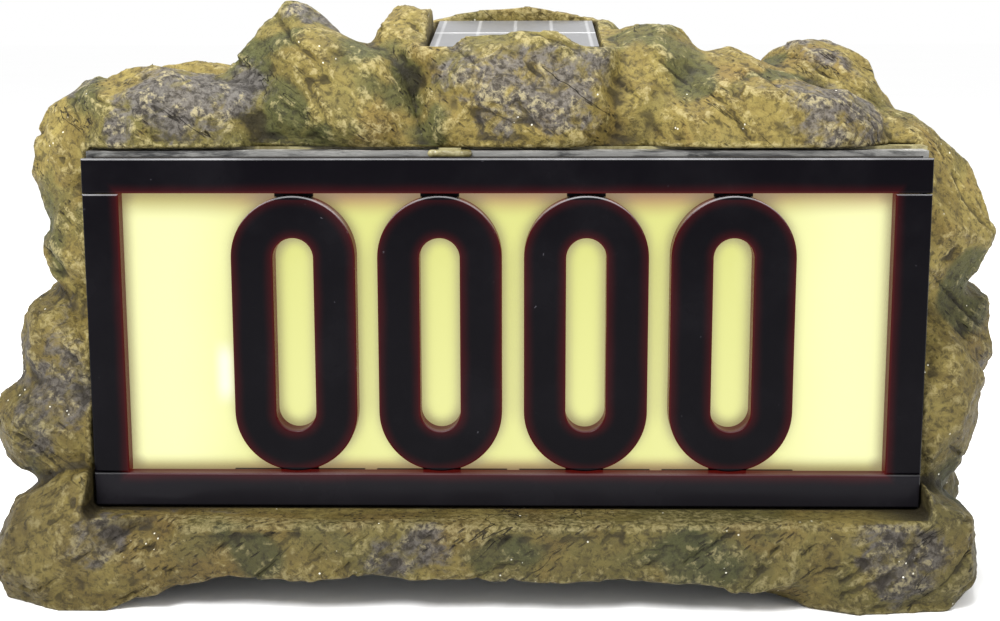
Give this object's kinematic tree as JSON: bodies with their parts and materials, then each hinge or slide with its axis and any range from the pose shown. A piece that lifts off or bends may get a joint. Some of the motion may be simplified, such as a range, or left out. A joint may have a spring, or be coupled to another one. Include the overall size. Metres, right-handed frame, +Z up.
{
  "type": "illuminated house number sign",
  "caption": "Hollow cast faux-rock garden light with a lit number panel framed in its front and a small solar panel set in its crown.",
  "frame": {"origin": "middle of the rock's footprint on the ground", "axes": "+X to the viewer's right along the sign, +Y to the back, +Z up; the lit face looks along -Y"},
  "size_m": [0.386, 0.136, 0.219],
  "materials": {
    "cast_stone": "cast resin painted in ochre, purple-grey and moss green, matt and rough",
    "smoked_acrylic": "very dark red translucent acrylic, polished face",
    "opal_acrylic": "opal acrylic, lit from behind",
    "tray_plastic": "silver-grey moulded plastic",
    "reflector_film": "white reflective sheet",
    "circuit_board": "green solder mask",
    "lamp_resin": "clear lamp resin",
    "cable_sheath": "black flexible sheath",
    "sleeve_rubber": "soft black rubber",
    "glue": "yellowish set glue",
    "foam_tape": "black foam tape",
    "panel_board": "pale panel board",
    "silicon": "dark blue solar cell",
    "solder_ribbon": "tinned ribbon",
    "panel_glazing": "clear cast resin",
    "black_plastic": "black moulded plastic",
    "zinc_screw": "zinc plated steel",
    "brass_insert": "plain brass",
    "cell_jacket": "plain green jacket, no print",
    "spring_steel": "nickel plated spring steel",
    "chip_plastic": "black moulded chip package"
  },
  "bodies": {
    "rock": {"rock_shell": "cast_stone", "top_rail": "smoked_acrylic", "bottom_rail": "smoked_acrylic", "left_stile": "smoked_acrylic", "diffuser_panel": "opal_acrylic", "light_box_tray": "tray_plastic", "back_reflector": "reflector_film", "led_board_left": "circuit_board", "led_board_right": "circuit_board", "led_lamps_left": "lamp_resin", "led_lamps_right": "lamp_resin", "link_wire": "cable_sheath", "light_cable": "cable_sheath", "tray_sleeve": "sleeve_rubber", "window_sealant": "glue", "solar_tape": "foam_tape", "solar_backing": "panel_board", "solar_cells": "silicon", "solar_ribbon": "solder_ribbon", "solar_glazing": "panel_glazing", "solar_sleeve": "sleeve_rubber", "solar_cable": "cable_sheath", "base_cover": "black_plastic", "cover_screws": "zinc_screw", "screw_inserts": "brass_insert", "battery_box": "black_plastic", "battery_cell_1": "cell_jacket", "battery_cell_2": "cell_jacket", "battery_cell_3": "cell_jacket", "battery_contacts": "spring_steel", "battery_cable": "cable_sheath", "control_board": "circuit_board", "charge_chip": "chip_plastic", "boost_coil": "spring_steel", "smoothing_capacitor": "chip_plastic", "board_screws": "zinc_screw", "switch_case": "black_plastic"},
    "stile": {"right_stile": "smoked_acrylic"},
    "number_1": {"digit_1": "smoked_acrylic"},
    "number_2": {"digit_2": "smoked_acrylic"},
    "number_3": {"digit_3": "smoked_acrylic"},
    "number_4": {"digit_4": "smoked_acrylic"},
    "door": {"battery_door": "black_plastic"},
    "knob": {"switch_knob": "black_plastic"}
  },
  "joints": [
    {"name": "number_1_slide", "type": "slide", "parent": "rock", "child": "number_1", "axis": [1, 0, 0], "range_m": [-0.036, 0.002]},
    {"name": "number_2_slide", "type": "slide", "parent": "rock", "child": "number_2", "axis": [1, 0, 0], "range_m": [-0.002, 0.002]},
    {"name": "number_3_slide", "type": "slide", "parent": "rock", "child": "number_3", "axis": [1, 0, 0], "range_m": [-0.002, 0.002]},
    {"name": "number_4_slide", "type": "slide", "parent": "rock", "child": "number_4", "axis": [1, 0, 0], "range_m": [-0.002, 0.031]},
    {"name": "stile_pull", "type": "slide", "parent": "rock", "child": "stile", "axis": [0, -1, 0], "range_m": [0, 0.012]},
    {"name": "door_slide", "type": "slide", "parent": "rock", "child": "door", "axis": [1, 0, 0], "range_m": [0, 0.06]},
    {"name": "switch_slide", "type": "slide", "parent": "rock", "child": "knob", "axis": [1, 0, 0], "range_m": [0, 0.004]}
  ]
}
